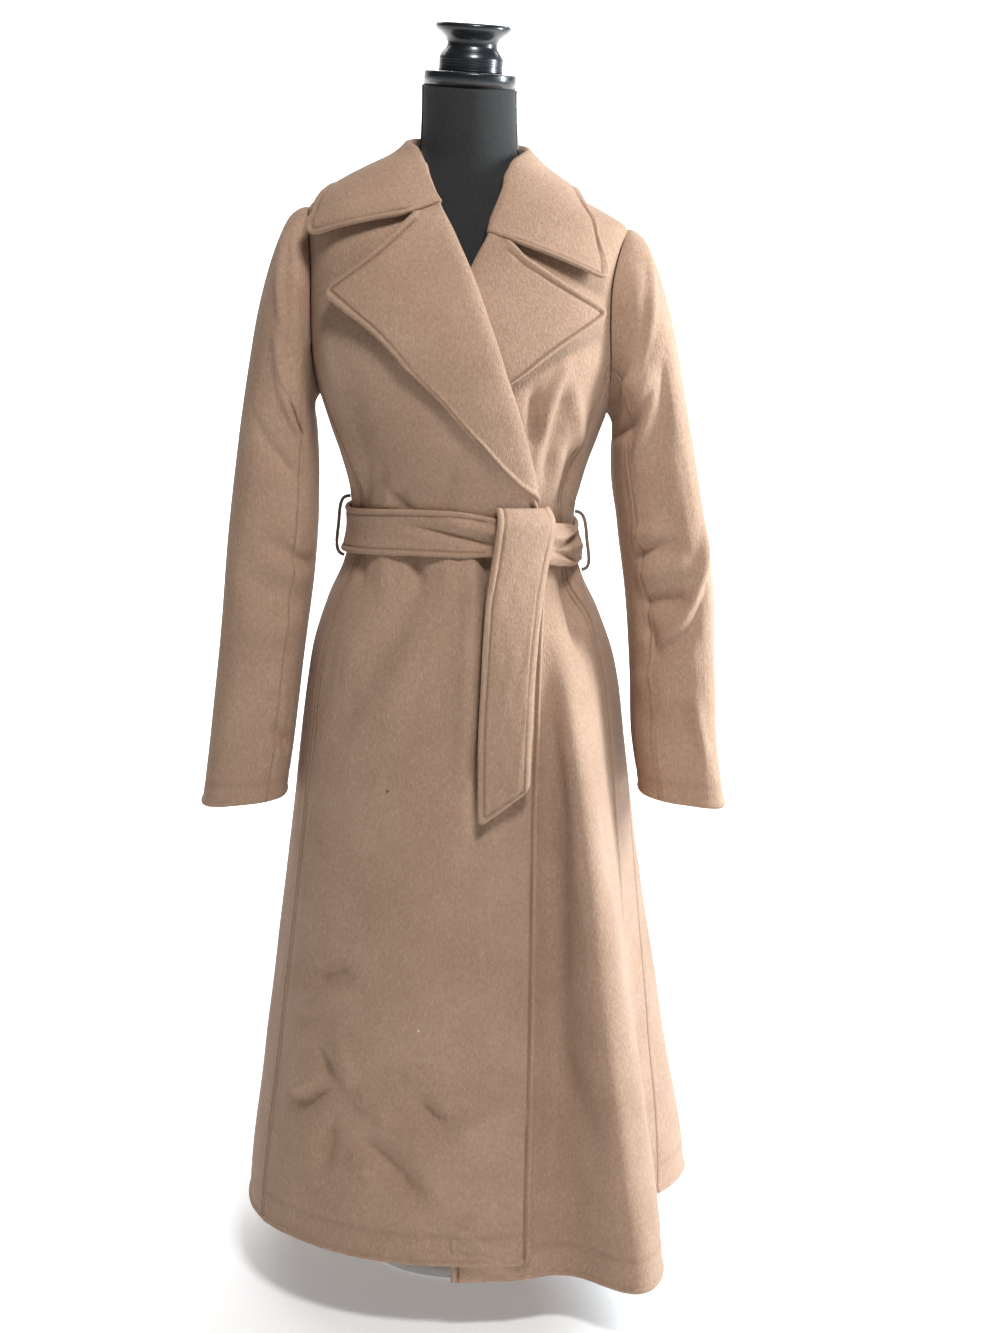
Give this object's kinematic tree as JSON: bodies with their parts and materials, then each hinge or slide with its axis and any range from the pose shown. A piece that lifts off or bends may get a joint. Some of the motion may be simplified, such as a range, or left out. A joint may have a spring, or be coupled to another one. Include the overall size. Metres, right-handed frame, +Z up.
{
  "type": "wrap coat on a dress form",
  "caption": "Long belted wrap coat of camel wool with wide notched lapels, a turned-down collar and a tied belt, worn by a limbless dress form on a pole with a round foot.",
  "frame": {"origin": "centre of the underside of the round foot, on the floor", "axes": "+Z up, the front of the coat faces -Y, the wearer's left is +X"},
  "size_m": [0.584, 0.5309, 1.3966],
  "materials": {
    "camel_wool": "brushed wool coating with a short soft nap",
    "loop_cord": "twisted thread",
    "form_jersey": "dark grey jersey cover",
    "black_lacquer": "turned wood with glossy black lacquer",
    "white_steel": "satin white paint"
  },
  "bodies": {
    "root": {"back_right": "camel_wool", "back_left": "camel_wool", "front_right": "camel_wool", "front_left": "camel_wool", "side_front_right": "camel_wool", "side_front_left": "camel_wool", "sleeve_upper_right": "camel_wool", "sleeve_upper_left": "camel_wool", "sleeve_under_right": "camel_wool", "sleeve_under_left": "camel_wool", "lapel_right": "camel_wool", "lapel_left": "camel_wool", "collar": "camel_wool", "belt_band": "camel_wool", "belt_knot": "camel_wool", "belt_end": "camel_wool", "belt_end_under": "camel_wool", "belt_loop_right": "loop_cord", "belt_loop_left": "loop_cord", "form_body": "form_jersey", "neck_cap": "black_lacquer", "finial": "black_lacquer", "pole": "white_steel", "base": "white_steel"}
  },
  "joints": []
}
